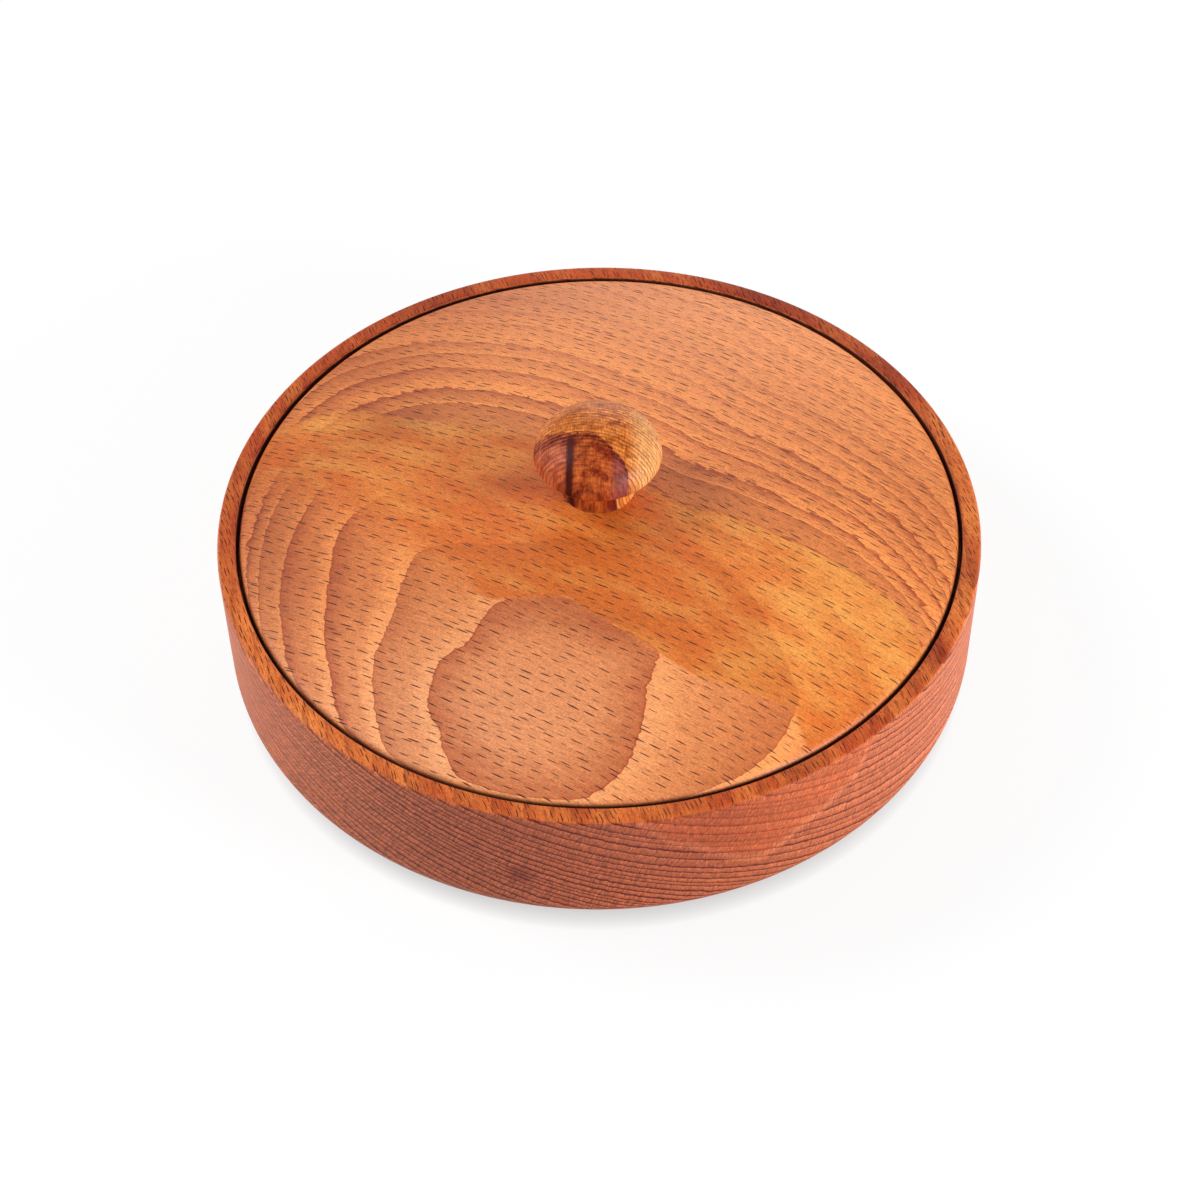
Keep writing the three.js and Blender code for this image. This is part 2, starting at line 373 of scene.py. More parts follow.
# %% The whole beech finish
STREAK_PITCH, STREAK_HALF = (7.0, 1.6), (2.6, 0.12)
BEECH_NOISES = {  # millimetres along, across and through the grain, then detail and roughness
    "fibres": ((7.0, 0.5, 1.6), 3.0, 0.6),
    "specks": ((0.6, 0.35, 0.5), 1.0, 0.6),
    "rays": ((9.0, 0.35, 2.6), 3.0, 0.8),
    "cloud": ((18.0, 6.0, 14.0), 4.0, 0.5),
    "blur": ((3.5, 0.9, 6.0), 3.0, 0.5),
}
# The brown tint darkens brown wood and, on the lid, painted shade; the dark colour is painted shade in the
# gap round the lid and the knot's own dark.
BROWN_AND_SHADE_TINT, GAP_SHADE_AND_KNOT_COLOUR = (0.62, 0.47, 0.5), "#300e06"
GRAIN_DEPTH = 0.12
BEECH_IOR = 1.48


def beech(name, turn, ragged, colours, pitch, half, shine):
    """Oiled beech, turned and sanded. Base colour: light wood runs to dark wood by the ring shade, the
    amber wood and the end grain have their own pair, and dashes, fibres and rays darken or lighten what
    lies under them. The numbers on the vertices say where it is golden, pale, brown or dark; pale holds a
    painted highlight too, and brown and dark hold painted shade too. turn lays the grain, ragged is how far
    ring edges wander in millimetres, pitch and half are the cells and the half sizes of the dashes, and
    shine is how much the oil reflects."""
    material, tree = new_material(name)
    place = grain_place(tree, turn)
    rings, luck = ring_shade(tree, place, ragged)
    dashes = dash_shade(tree, place, pitch, half)
    streaks = dash_shade(tree, place, STREAK_PITCH, STREAK_HALF)
    tone = {part: linear(colour) for part, colour in colours.items()}
    amber, golden, pale, end_grain, brown, dark, year = (
        add(tree, "Attribute", out="Fac", attribute_name=kept)
        for kept in ("amber", "golden", "pale", "end_grain", "brown", "dark", "year_width")
    )
    noise = {
        look: add(
            tree, "TexNoise",
            {"Scale": 1.0, "Vector": stretched(tree, place, *size), "Detail": detail, "Roughness": rough}
        )
        for look, (size, detail, rough) in BEECH_NOISES.items()
    }

    blur = add(tree, "MapRange", {0: noise["blur"], 3: -0.5, 4: 0.5})
    amber = add(tree, "Math", {0: amber, 1: blur}, operation="ADD")
    amber = add(tree, "MapRange", {0: amber, 1: -0.5, 2: 0.5})
    patchy = add(tree, "MapRange", {0: noise["cloud"], 1: 0.3, 2: 0.7, 3: -0.5, 4: 0.5})
    golden = add(tree, "Math", {0: golden, 1: patchy}, operation="ADD", use_clamp=True)
    gold = add(tree, "Mix", {0: golden, MIX_A: tone["amber"], MIX_B: tone["gold"]}, **COLOUR_MIX)
    # Pale is a painted highlight on the lid's front left, and paler wood by the bowl's amber wedge.
    light_wood = add(tree, "Mix", {0: pale, MIX_A: tone["early"], MIX_B: tone["pale"]}, **COLOUR_MIX)
    light_wood = add(tree, "Mix", {0: amber, MIX_A: light_wood, MIX_B: gold}, **COLOUR_MIX)
    dark_wood = add(tree, "Mix", {0: amber, MIX_A: tone["late"], MIX_B: tone["amber_late"]}, **COLOUR_MIX)
    side = add(tree, "Mix", {0: rings, MIX_A: light_wood, MIX_B: dark_wood}, **COLOUR_MIX)

    narrow = add(tree, "MapRange", {0: year, 1: 5.0, 2: 10.0, 3: 0.6, 4: 0.1})
    streaks = add(tree, "Math", {0: streaks, 1: narrow}, operation="MULTIPLY")
    dashes = add(tree, "Math", {0: dashes, 1: streaks}, operation="MAXIMUM")
    cut_flat = add(tree, "MapRange", {0: end_grain, 1: 0.1, 2: 0.6, 3: 1.0, 4: 0.0})
    dashes = add(tree, "Math", {0: dashes, 1: cut_flat}, operation="MULTIPLY")
    dash_tone = add(tree, "Math", {0: dashes, 1: 0.95}, operation="MULTIPLY")
    side = add(tree, "Mix", {0: dash_tone, MIX_A: side, MIX_B: tone["dash"]}, **COLOUR_MIX)

    end = add(tree, "Mix", {0: rings, MIX_A: tone["end_early"], MIX_B: tone["end_late"]}, **COLOUR_MIX)
    amber_end = add(tree, "Mix", {0: pale, MIX_A: tone["amber_end"], MIX_B: tone["pale"]}, **COLOUR_MIX)
    amber_end = add(tree, "Mix", {0: rings, MIX_A: amber_end, MIX_B: tone["amber_late"]}, **COLOUR_MIX)
    end = add(tree, "Mix", {0: amber, MIX_A: end, MIX_B: amber_end}, **COLOUR_MIX)
    ray_light = add(
        tree, "MapRange", {0: noise["rays"], 1: 0.35, 2: 0.65, 3: 0.54, 4: 1.46}, clamp=False
    )
    end = add(tree, "VectorMath", {0: end, "Scale": ray_light}, operation="SCALE")
    wood = add(tree, "Mix", {0: end_grain, MIX_A: side, MIX_B: end}, **COLOUR_MIX)

    # Brown wood, and on the lid also painted shade.
    browned_and_shaded = add(tree, "VectorMath", {0: wood, 1: BROWN_AND_SHADE_TINT}, operation="MULTIPLY")
    wood = add(tree, "Mix", {0: brown, MIX_A: wood, MIX_B: browned_and_shaded}, **COLOUR_MIX)
    # Painted shade in the gap round the lid, and the knot's own dark.
    dark = add(tree, "Math", {0: dark, 1: 0.85}, operation="MULTIPLY")
    wood = add(tree, "Mix", {0: dark, MIX_A: wood, MIX_B: linear(GAP_SHADE_AND_KNOT_COLOUR)}, **COLOUR_MIX)
    streak_light = add(
        tree, "MapRange", {0: noise["fibres"], 1: 0.3, 2: 0.7, 3: 0.86, 4: 1.14}, clamp=False
    )
    speck_light = add(
        tree, "MapRange", {0: noise["specks"], 1: 0.25, 2: 0.75, 3: 0.74, 4: 1.26}, clamp=False
    )
    year_light = add(tree, "MapRange", {0: luck, 3: 0.95, 4: 1.05})
    light = add(tree, "Math", {0: streak_light, 1: speck_light}, operation="MULTIPLY")
    light = add(tree, "Math", {0: light, 1: year_light}, operation="MULTIPLY")
    wood = add(tree, "VectorMath", {0: wood, "Scale": light}, operation="SCALE")

    height = add(tree, "Math", {0: dashes, 1: -1.0}, operation="MULTIPLY")
    height = add(tree, "Math", {0: noise["fibres"], 1: 0.35, 2: height}, operation="MULTIPLY_ADD")
    bump = add(tree, "Bump", {"Height": height, "Strength": 0.3, "Distance": GRAIN_DEPTH * MM})
    rough = add(tree, "MapRange", {0: noise["fibres"], 1: 0.2, 2: 0.8, 3: 0.42, 4: 0.56})
    rough = add(tree, "Math", {0: dashes, 1: 0.25, 2: rough}, operation="MULTIPLY_ADD")
    shader = add(
        tree, "BsdfPrincipled", {
            "Base Color": wood, "Roughness": rough, "IOR": BEECH_IOR, "Specular IOR Level": shine,
            "Normal": bump,
        }
    )
    add(tree, "OutputMaterial", {"Surface": shader})
    return material


# %% [markdown]
# ## The bowl
#
# The bowl is one block of beech. Its wall leans in a little towards the foot and rounds under to a flat
# ring. The rim is softened on both sides, and inside it the rebate and its ledge take the lid.

# %% The bowl's profile
RIM_WIDTH, RIM_OUTER_ROUND, RIM_INNER_ROUND = 4.9, 1.3, 0.8
WALL_TAPER, UNDERSIDE_ROUND = 0.4, (20.0, 12.0)
FOOT_WIDTH, FOOT_RECESS, FOOT_SLOPE = 10.0, 1.0, 1.5
REBATE_DEPTH, LEDGE_WIDTH, LEDGE_ROUND = 6.5, 3.6, 0.6
FLOOR, CAVITY_ROUND = 8.0, 14.0
BOWL_STEP, FINE_STEP, SEGMENTS = 1.25, 0.25, 360

bowl_radius, bowl_height = bowl_high[0], bowl_high[2]
foot_radius = bowl_radius - WALL_TAPER - UNDERSIDE_ROUND[0]
rebate_radius = bowl_radius - RIM_WIDTH
ledge_height = bowl_height - REBATE_DEPTH
cavity_radius = rebate_radius - LEDGE_WIDTH
bowl_profile = profile_of(
    [
        (0, FOOT_RECESS),
        (foot_radius - FOOT_WIDTH - FOOT_SLOPE, FOOT_RECESS),
        (foot_radius - FOOT_WIDTH, 0),
        arc((foot_radius, UNDERSIDE_ROUND[1]), *UNDERSIDE_ROUND, -90, 0, BOWL_STEP),
        arc(
            (bowl_radius - RIM_OUTER_ROUND, bowl_height - RIM_OUTER_ROUND),
            RIM_OUTER_ROUND, RIM_OUTER_ROUND, 0, 90, FINE_STEP,
        ),
        arc(
            (rebate_radius + RIM_INNER_ROUND, bowl_height - RIM_INNER_ROUND),
            RIM_INNER_ROUND, RIM_INNER_ROUND, 90, 180, FINE_STEP,
        ),
        (rebate_radius, ledge_height),
        arc(
            (cavity_radius + LEDGE_ROUND, ledge_height - LEDGE_ROUND),
            LEDGE_ROUND, LEDGE_ROUND, 90, 180, FINE_STEP,
        ),
        arc(
            (cavity_radius - CAVITY_ROUND, FLOOR + CAVITY_ROUND),
            CAVITY_ROUND, CAVITY_ROUND, 0, -90, BOWL_STEP,
        ),
        (0, FLOOR),
    ],
    BOWL_STEP,
)
bowl_mesh = turned("bowl", bowl_profile, SEGMENTS)
print("bowl profile", len(bowl_profile), "points")

# %% [markdown]
# The block was sawn flat, so its rings are almost level and cross the front of the bowl as slanting lines.
# They are so little curved there that planes do: the age is the distance along one slanted direction, and
# how wide a year is depends on its depth, with good and bad years in turn. The grain runs from front to
# back, so the wall is end grain at the front, side grain at the right and left, and flat grain on the
# rim.
#
# The rest is drawn on the turned surface, by the turn about the axis and the height under the rim. A wedge
# of amber wood hangs from the rim at the front right, pale just inside its edge and brown just outside it.
# Brown and golden clouds lie along the rim, brown ones also on the wall, and a small knot sits in the
# wall left of the front.

# %% The bowl's figure
RING_SLANT = np.array([0.355, 0.02, 0.93])  # the direction across the rings
RING_PLACES = [-80, -45, -30, -24, -14, 0, 20, 45]
RING_WIDTHS = [2.6, 2.4, 1.8, 1.8, 2.6, 3.0, 2.7, 2.4]
AMBER_TURN = [4, 9, 13, 20, 23, 26, 29, 36, 39, 42]
AMBER_DROP = [0, 11, 15, 25, 26.5, 25, 21, 15.5, 12, 0]
STRENGTH_TURN = [-180, -90, -50, -25, 20, 90, 180]
STRENGTH = [0.9, 0.8, 0.9, 1.35, 1.35, 1.0, 0.9]
KNOT = (-12, -23)  # its turn from the front in degrees and its height above the rim
WALL_BROWN = [(KNOT, 1.3, 2.2, 1.7), ((-6, -18), 32, 60, 0.6), ((17, -8), 9, 14, 0.3)]
WALL_DARK = [(KNOT, 1.2, 2.0, 0.4)]
WALL_GOLD = 0.3
RIM_BROWN = [
    (150, 12, 1.0), (124, 7, 0.8), (78, 4, 0.8), (60, 3, 0.8), (-152, 9, 0.7), (-102, 6, 0.5), (30, 3, 0.4),
]
RIM_GOLD = [(-55, 45, 0.7), (85, 28, 0.8), (5, 30, 0.3)]
OLDEST_YEAR, RING_STEPS = 100, 500

x, y, z = points_of(bowl_mesh)
from_axis, above_rim = np.hypot(x, y), z - bowl_height
across_rings = RING_SLANT @ np.array([x, y, above_rim])
steps = np.linspace(RING_PLACES[0], RING_PLACES[-1], RING_STEPS)
seasons = 1 + 0.35 * np.sin(1.3 * steps) + 0.2 * np.sin(0.47 * steps + 1)  # good and bad years
years = np.cumsum(np.gradient(steps) / np.interp(steps, RING_PLACES, RING_WIDTHS) / seasons)
bowl_age = OLDEST_YEAR - np.interp(across_rings, steps, years)
bowl_year = np.interp(across_rings, RING_PLACES, RING_WIDTHS)

facing = normals_of(bowl_mesh)
turn = np.degrees(np.arctan2(x, -y))
cut_flat = smooth_step(facing[2] ** 2, 0.25, 0.7)
on_wall = (from_axis > rebate_radius + RIM_WIDTH / 2) * (1 - cut_flat)
on_rim = (from_axis > cavity_radius) * cut_flat
in_wedge = np.interp(turn, AMBER_TURN, AMBER_DROP, left=-30, right=-30) + above_rim
bowl_amber = np.maximum(np.clip(in_wedge, -2, 2), 4 * cut_flat - 2)
bowl_end = (0.4 + 0.6 * smooth_step(np.abs(facing[1]), 0.1, 0.85)) * (1 - cut_flat)
bowl_pale = 0.4 * on_wall * bell(in_wedge, 1.4, 1.2)
bowl_brown = on_wall * (soft_spots(turn, above_rim, WALL_BROWN) + 0.3 * bell(in_wedge, -1.2, 1.0))
bowl_brown += on_rim * bells(turn, RIM_BROWN)
bowl_golden = np.where(on_rim > 0, bells(turn, RIM_GOLD), WALL_GOLD)
bowl_strength = np.interp(turn, STRENGTH_TURN, STRENGTH) * (1 - 0.6 * cut_flat)
bowl_strength *= 1 - 0.4 * smooth_step(in_wedge, -0.5, 0.5)
bowl_strength = np.where(from_axis < cavity_radius - 1, 0.8, bowl_strength)
# Painted shade in the rebate just below the rim, so that the gap round the lid reads dark; then the knot's
# own dark on the wall.
bowl_gap_shade_and_knot = painted_gap_shade(-above_rim, 0.15, 0.8, 1.6) * (from_axis < rebate_radius + RIM_INNER_ROUND)
bowl_gap_shade_and_knot += on_wall * soft_spots(turn, above_rim, WALL_DARK)
store(
    bowl_mesh, age=bowl_age, year_width=bowl_year, ring_strength=bowl_strength, amber=bowl_amber,
    golden=bowl_golden, pale=bowl_pale, end_grain=bowl_end, brown=bowl_brown, dark=bowl_gap_shade_and_knot,
)

# %% The bowl's finish
BOWL_COLOURS = {
    "early": "#da7e56", "pale": "#e09870", "late": "#9c4630",
    "amber": "#be5020", "gold": "#e8843c", "amber_late": "#842a10", "amber_end": "#bc6036",
    "end_early": "#bc6640", "end_late": "#641e12", "dash": "#521808",
}
bowl_beech = beech(
    "oiled_beech_bowl", turn=(21, 0, 110), ragged=0.5, colours=BOWL_COLOURS,
    pitch=(3.6, 1.2), half=(1.7, 0.15), shine=0.2,
)
finished(bowl_mesh, bowl_beech, "box", "box_body")

# %% [markdown]
# ## The lid
#
# The lid is a disc turned to a shallow dome, with a rounded edge that stands just inside the rim. Under it
# is a hollow, a flat ring that rests on the ledge, and a small flat where the screw's head lies.

# %% The lid's profile
EDGE_ROUND, SHOULDER_DROP, CROWN_RISE = 2.5, 1.9, 13.0
LID_THICKNESS, SEAT_WIDTH, SEAT_ROUND = 9.0, 8.3, 0.5
PAD_RADIUS, KNOB_FOOT_RADIUS, KNOB_SEAT_MARGIN = 10.0, 9.6, 0.5
SINK_CLEARANCE, HEAD_RIM = 0.3, 0.3
SCREW_SHANK_RADIUS = 1.5
LID_STEP = 1.1

lid_radius = lid_high[0]
crown_height = bowl_height + CROWN_RISE
shoulder = np.array([lid_radius - EDGE_ROUND, bowl_height - SHOULDER_DROP])
crown_above = crown_height - shoulder[1]
dome_radius = (crown_above**2 + shoulder[0] ** 2 - EDGE_ROUND**2) / (2 * (crown_above - EDGE_ROUND))
dome_edge = degrees_at(shoulder[0], dome_radius - EDGE_ROUND)
knob_seat_radius = KNOB_FOOT_RADIUS + KNOB_SEAT_MARGIN
knob_seat_height = crown_height - cap_fall(dome_radius, knob_seat_radius)
hollow_radius, hollow_height = lid_radius - SEAT_WIDTH, crown_height - LID_THICKNESS
hollow_rise = hollow_height - ledge_height
hollow_sphere = (hollow_radius**2 + hollow_rise**2) / (2 * hollow_rise)
pad_height = hollow_height - cap_fall(hollow_sphere, PAD_RADIUS)
screw_head_radius = screw_high[0]
sink_radius, hole_radius = screw_head_radius + SINK_CLEARANCE, SCREW_SHANK_RADIUS + SINK_CLEARANCE
sink_bottom = pad_height + HEAD_RIM
lid_profile = profile_of(
    [
        (sink_radius, pad_height),
        arc((0, hollow_height - hollow_sphere), hollow_sphere, hollow_sphere,
            degrees_at(PAD_RADIUS, hollow_sphere), degrees_at(hollow_radius, hollow_sphere), LID_STEP),
        arc((lid_radius - SEAT_ROUND, ledge_height + SEAT_ROUND), SEAT_ROUND, SEAT_ROUND, -90, 0, FINE_STEP),
        arc(shoulder, EDGE_ROUND, EDGE_ROUND, 0, dome_edge, FINE_STEP),
        arc((0, crown_height - dome_radius), dome_radius, dome_radius,
            dome_edge, degrees_at(knob_seat_radius, dome_radius), LID_STEP),
        (hole_radius, knob_seat_height),
        (hole_radius, sink_bottom + screw_head_radius - SCREW_SHANK_RADIUS),
        (sink_radius, sink_bottom),
        (sink_radius, pad_height),
    ],
    LID_STEP,
)
lid_mesh = turned("lid_disc", lid_profile, SEGMENTS)
print("lid profile", len(lid_profile), "points")

# %% [markdown]
# Cutting a dome out of a board whose rings wander makes the nested loops of a flat-sawn figure. Here the
# loops are drawn: each is a line through a few points in plan, in millimetres, all round one lobe near the
# front. Seen from the lobe's middle a loop is a distance in each direction, and the age at a point is the
# number of loops inside it, plus the share of the way to the next one. Outside the last loop the years
# have a width for each direction, with good and bad ones in turn.

# %% The lid's loops
LOBE_MIDDLE = np.array([-15.0, -62.0])
LOOPS = [
    [(-27, -38), (-22, -36), (-13, -35), (-8, -37), (-2, -41), (5, -47), (14.5, -53), (14, -56), (11, -63),
     (10, -73), (8, -80), (4, -87), (-8, -94), (-24, -93), (-37, -83), (-40, -72), (-43, -68), (-42, -58),
     (-39, -52), (-33, -49), (-30, -43)],
    [(-47, -19), (-38, -17), (-28, -19), (-16, -19), (-5, -18), (5, -18), (15, -20), (27, -24), (37, -32),
     (43, -47), (49, -65), (43, -78), (28, -90), (-5, -115), (-50, -95), (-53, -78), (-56, -65), (-57, -53),
     (-52, -38), (-49, -25)],
    [(-65, -4), (-56, 2.5), (-50, 5), (-42, 6), (-33, 5), (-25, 3), (-15, 0), (10, -5), (35, -18), (55, -32),
     (66, -50), (66, -75), (0, -130), (-58, -85), (-66, -62), (-68, -52), (-69.5, -32), (-69, -20),
     (-68, -10)],
    [(-54, 26), (-46, 28), (-40, 27), (-31, 25), (-21, 21), (0, 9), (21, -6), (32, -8.5), (43, -13),
     (53, -18), (62, -23), (70, -28), (78, -38), (81, -45), (100, -80), (0, -150), (-70, -90), (-77, -55),
     (-80, -42), (-82, -26), (-80, -8), (-75, 5), (-66, 16)],
    [(-62, 34), (-50, 36.5), (-40, 36.5), (-31, 34), (-21, 30.5), (0, 18), (22, 4), (45, -6), (63, -16),
     (77, -30), (86, -45), (110, -80), (0, -158), (-80, -90), (-86, -38), (-88, -20), (-86.5, 0), (-80, 16),
     (-72, 26)],
]
OUTER_TURN = [-180, -60, 0, 12, 35, 60, 90, 115, 140, 180]
OUTER_YEAR = [4.5, 4.5, 3.0, 3.2, 5.2, 6.2, 8.0, 8.0, 5.0, 4.5]
LOOP_BLUR, BLUR_REACH = 2.0, 8  # degrees
LOBE_SHARE, DEPTH_YEAR = 0.45, 3.1


def loop_reach(loop, direction):
    """How far a loop lies from the lobe's middle in each direction: its points as angle and distance,
    joined round the circle and blurred by a bell of a few degrees."""
    offset = np.array(loop) - LOBE_MIDDLE
    angle = np.degrees(np.arctan2(offset[:, 1], offset[:, 0]))
    degrees = np.arange(-180, 180)
    distance = np.interp(degrees, angle, np.hypot(*offset.T), period=360)
    weight = np.exp(-((np.arange(-BLUR_REACH, BLUR_REACH + 1) / LOOP_BLUR) ** 2) / 2)
    padded = np.concatenate([distance[-BLUR_REACH:], distance, distance[:BLUR_REACH]])
    return np.interp(direction, degrees, np.convolve(padded, weight / weight.sum(), "valid"), period=360)


def lid_rings(x, y, depth):
    """Age and year width, from the loops, at points in plan. Inside the first loop the year is at least
    LOBE_SHARE gone. Past the last loop the age is the distance over the year's width, made uneven by two
    slow waves. depth is how far the point lies under the dome, and every DEPTH_YEAR of it is a year more."""
    direction = np.degrees(np.arctan2(y - LOBE_MIDDLE[1], x - LOBE_MIDDLE[0]))
    distance = np.hypot(x - LOBE_MIDDLE[0], y - LOBE_MIDDLE[1])
    reaches = [0 * distance, *(loop_reach(loop, direction) for loop in LOOPS)]
    outer = np.interp(direction, OUTER_TURN, OUTER_YEAR)
    past = np.maximum(distance - reaches[-1], 0) / outer
    age = past + 0.2 * np.sin(2.3 * past) + 0.12 * np.sin(3.9 * past)
    width = outer
    for inner, reach in zip(reaches[:-1], reaches[1:]):
        share = np.clip((distance - inner) / (reach - inner), 0, 1)
        age = age + (np.maximum(share, LOBE_SHARE) if inner is reaches[0] else share)
        width = np.where((distance >= inner) & (distance < reach), reach - inner, width)
    return age + depth / DEPTH_YEAR, width


# %% [markdown]
# Across the middle of the lid runs a band of amber wood. It has a crisp edge where it meets the outer
# rings, a crisp crease at the front right, and fades out at the left, where the rings start again. The
# edges are lines through a few points in plan, and each has its own sharpness. Brown and golden clouds
# lie over the lid; some brown ones are the knob's painted shadow round its foot, and those along the
# lid's edges are partly painted shade. Its front left has a painted highlight, and the edge that faces
# the rim has painted shade so that the gap reads dark.

# %% The lid's amber band, brown clouds, painted shade and painted highlight
AMBER_TOP = [
    (-95, 34), (-85, 36), (-78, 37.5), (-70, 38), (-62, 36.5), (-55, 33), (-42, 28), (-32, 25), (-22, 22),
    (0, 9), (22, -6), (32, -8), (43, -13), (53, -18), (62, -23), (69, -28), (75, -33), (79, -40),
    (81, -46), (90, -75),
]
AMBER_FOOT = [
    (-95, 14), (-82, 11), (-74, 5), (-64, -3), (-50, -15), (-38, -27), (-28, -36), (-8, -36.5),
    (5, -46.5), (14, -53), (22, -59), (32, -62.5), (47, -67.5), (52, -85), (60, -120),
]
FOOT_SHARPNESS = [(-95, 0.06), (-32, 0.06), (-24, 1.0), (40, 1.0), (47, 0.3), (55, 0.12)]
# Brown wood and painted shade: the clouds at (-18, 2), (26, 4) and (2, -19) are the knob's painted shadow
# round its foot, and those at (-64, 56), (-92, 0), (-42, 84), (30, 92) and (84, -8), along the lid's edges,
# are partly brown wood and partly painted shade.
BROWN_AND_SHADE_CLOUDS = [
    ((-64, 56), 30, 17, 0.65), ((-92, 0), 14, 26, 0.8), ((-42, 84), 40, 12, 0.6), ((30, 92), 60, 12, 0.2),
    ((-52, 30), 10, 7, 0.35), ((-18, 2), 16, 7, 0.6), ((26, 4), 18, 6, 0.4), ((-20, -42), 14, 5, 0.35),
    ((0, -46), 12, 5, 0.35), ((-75, -22), 11, 16, 0.4), ((-58, -30), 6, 14, 0.2), ((2, -19), 24, 6, 0.2),
    ((55, 5), 28, 22, 0.3), ((84, -8), 10, 30, 0.4), ((30, 30), 60, 22, 0.1),
]
GOLD_CLOUDS = [((60, -45), 30, 26, 0.75), ((-55, 18), 30, 20, 0.45), ((30, -14), 24, 7, 0.4)]
# A painted highlight on the lid's front left.
PAINTED_HIGHLIGHT_CLOUDS = [((-25, -72), 50, 34, 0.9)]

x, y, z = points_of(lid_mesh)
from_axis = np.hypot(x, y)
dome_top = crown_height - cap_fall(dome_radius, np.minimum(from_axis, lid_radius))
lid_age, lid_year = lid_rings(x, y, dome_top - z)
amber_above = np.interp(x, *np.transpose(AMBER_TOP)) - y
amber_below = (y - np.interp(x, *np.transpose(AMBER_FOOT))) * np.interp(x, *np.transpose(FOOT_SHARPNESS))
lid_amber = np.clip(np.minimum(amber_above, amber_below), -2, 2)
lid_strength = 1 - 0.7 * smooth_step(lid_amber, -0.6, 0.8)
lid_strength *= 1 - 0.6 * smooth_step(y + 0.35 * x, 15, 80)
above_edge = smooth_step(amber_above, -6, 0) * (amber_above < 0)
lid_golden = soft_spots(x, y, GOLD_CLOUDS) + 0.45 * smooth_step(-amber_above, -10, 0)
lid_brown_and_shade = soft_spots(x, y, BROWN_AND_SHADE_CLOUDS) + 0.45 * above_edge
lid_painted_highlight = soft_spots(x, y, PAINTED_HIGHLIGHT_CLOUDS)
facing = normals_of(lid_mesh)
lid_end = 0.7 * smooth_step(np.hypot(*facing[:2]), 0.6, 0.95)
# Painted shade on the lid's edge that faces the rim.
lid_gap_shade = painted_gap_shade(bowl_height - z, 0.3, 1.3, 2.0) * (from_axis > lid_radius - EDGE_ROUND)
store(
    lid_mesh, age=lid_age, year_width=lid_year, ring_strength=lid_strength, amber=lid_amber,
    golden=lid_golden, pale=lid_painted_highlight, end_grain=lid_end, brown=lid_brown_and_shade, dark=lid_gap_shade,
)

# %% The lid's finish
LID_COLOURS = {
    "early": "#ee914a", "pale": "#f8ac76", "late": "#ac4e26",
    "amber": "#d66e26", "gold": "#ec9e4a", "amber_late": "#b2521a", "amber_end": "#b8622e",
    "end_early": "#b8683c", "end_late": "#7a3c22", "dash": "#400e06",
}
lid_beech = beech(
    "oiled_beech_lid", turn=(0, 0, -29), ragged=1.1, colours=LID_COLOURS,
    pitch=(4.7, 2.0), half=(1.9, 0.18), shine=0.4,
)
finished(lid_mesh, lid_beech, "lid", "lid")

# %% [markdown]
# ## The knob
#
# The knob is turned from its own stick, with the grain standing up. Every year of the stick is therefore a
# line that keeps its place in plan all the way from the foot to the crown, where it shows as end grain.

# %% The knob's profile
WAIST_RADIUS, NECK_HEIGHT, HEAD_DROP, HEAD_RISE, FILLET = 9.0, 7.8, 4.5, 10.0, 1.2
PILOT_RADIUS, PILOT_OVER, SCREW_LENGTH = 1.4, 1.5, 20.0
KNOB_STEP, KNOB_SEGMENTS = 0.35, 300

head_radius = knob_high[0]
foot = knob_low[2]
widest = foot + NECK_HEIGHT + HEAD_DROP
neck_top = WAIST_RADIUS + FILLET
underside = arc((0, widest), head_radius, HEAD_DROP, -degrees_at(neck_top, head_radius), 0, KNOB_STEP)
waist_height = underside[0, 1] - FILLET
pilot_end = pad_height + SCREW_LENGTH + PILOT_OVER
knob_profile = profile_of(
    [
        (0, pilot_end),
        (PILOT_RADIUS, pilot_end - PILOT_RADIUS),
        (PILOT_RADIUS, foot),
        arc((KNOB_FOOT_RADIUS, waist_height), KNOB_FOOT_RADIUS - WAIST_RADIUS, waist_height - foot,
            -90, -180, KNOB_STEP),
        arc((neck_top, waist_height), FILLET, FILLET, 180, 90, FINE_STEP),
        underside,
        arc((0, widest), head_radius, HEAD_RISE, 0, 90, KNOB_STEP),
    ],
    KNOB_STEP,
)
knob_mesh = turned("knob_turning", knob_profile, KNOB_SEGMENTS)
print("knob profile", len(knob_profile), "points")

# %% The knob's figure
HEART_X = [-17, -13, -10, -7, -5, -2, 0, 1.5, 3, 5, 6.5, 7.6, 7.9, 17]
HEART_Y = [1.2, 0.2, -0.3, -1.3, -2.0, -2.6, -3.2, -4.3, -6.0, -8.2, -10.0, -12.0, -30, -30]
KNOB_YEAR, KNOB_MIDDLE_AGE = 1.15, 40
KNOB_SPOTS = [((6, 2), 3.0, 2.0, 0.75), ((0, 6), 8.0, 2.5, 0.15)]
KNOB_PATCHES = [((2, -8), 4.0, 2.6, 1.0), ((-3.5, -13), 1.5, 3.0, 0.5)]

x, y, z = points_of(knob_mesh)
heart = np.interp(x, HEART_X, HEART_Y) - y
knob_age = (0.22 * x + y + 0.012 * x**2) / KNOB_YEAR + KNOB_MIDDLE_AGE
streak_middle = -7.2 + 0.06 * (y + 10)
streak = smooth_step(1.0 - np.abs(x - streak_middle), -0.4, 0.5) * smooth_step(heart, 1.0, 2.5)
knob_spot, knob_patch = soft_spots(x, y, KNOB_SPOTS), soft_spots(x, y, KNOB_PATCHES)
store(knob_mesh, age=knob_age, heart=heart, streak=streak, side=x, spot=knob_spot, patch=knob_patch)

